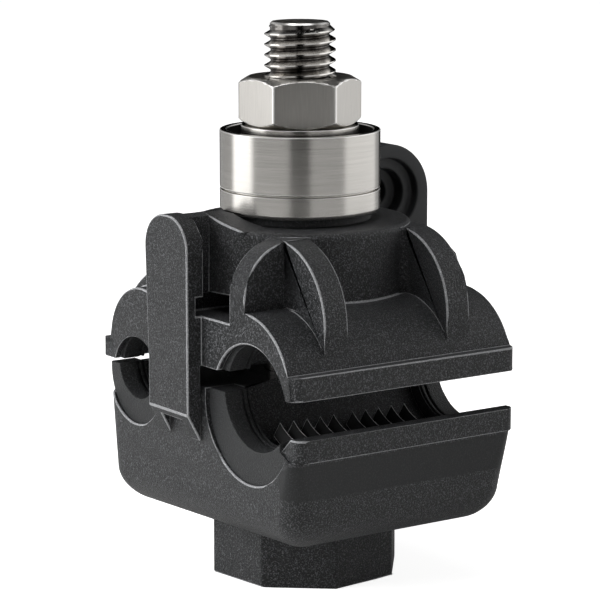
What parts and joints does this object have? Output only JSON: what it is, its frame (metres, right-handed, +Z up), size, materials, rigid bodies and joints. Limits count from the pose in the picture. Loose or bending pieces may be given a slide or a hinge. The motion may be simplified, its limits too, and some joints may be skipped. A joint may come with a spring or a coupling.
{
  "type": "insulation piercing connector",
  "caption": "Two-jaw cable tap connector with a wide main channel, a narrow tap channel, toothed contacts and one central bolt with a nut, washer and pressure cup.",
  "frame": {"origin": "where the bolt's axis meets the foot's flat underside", "axes": "+Z up along the bolt towards the nut; the cables run along Y; +X towards the main cable's side, -X towards the tap cable's side"},
  "size_m": [0.0575, 0.0602, 0.0936],
  "materials": {
    "nylon": "fine spark-eroded grain, semi-matt",
    "rubber": "moulded rubber",
    "soft_plastic": "moulded soft plastic",
    "tinned_contact": "dull tinned, greased",
    "bolt_steel": "rolled thread, slightly worn",
    "stainless_steel": "turned and brushed"
  },
  "bodies": {
    "lower_jaw": {"lower_body": "nylon", "bolt": "bolt_steel", "bolt_grommet_lower": "rubber", "main_seal_lower_front": "rubber", "tap_seal_lower_front": "rubber", "contact_lower_front": "tinned_contact", "main_seal_lower_rear": "rubber", "tap_seal_lower_rear": "rubber", "contact_lower_rear": "tinned_contact"},
    "upper_jaw": {"upper_body": "nylon", "boss_collar": "rubber", "pressure_disc": "stainless_steel", "pressure_cup": "stainless_steel", "disc_spring_lower": "stainless_steel", "disc_spring_middle": "stainless_steel", "disc_spring_upper": "stainless_steel", "nut_washer": "stainless_steel", "bolt_grommet_upper": "rubber", "end_cap": "soft_plastic", "main_seal_upper_front": "rubber", "tap_seal_upper_front": "rubber", "contact_upper_front": "tinned_contact", "main_seal_upper_rear": "rubber", "tap_seal_upper_rear": "rubber", "contact_upper_rear": "tinned_contact"},
    "nut_body": {"nut": "stainless_steel"}
  },
  "joints": [
    {"name": "jaw_travel", "type": "slide", "parent": "lower_jaw", "child": "upper_jaw", "axis": [0, 0, 1], "range_m": [-0.0006, 0.007]},
    {"name": "nut_spin", "type": "hinge", "parent": "upper_jaw", "child": "nut_body", "pos_m": [0, 0, 0.0804], "axis": [0, 0, 1], "range_deg": [-124, 1441]}
  ],
  "couplings": [
    {"joint": "nut_spin", "follows": "jaw_travel", "rad_per_m": 3590.4}
  ]
}
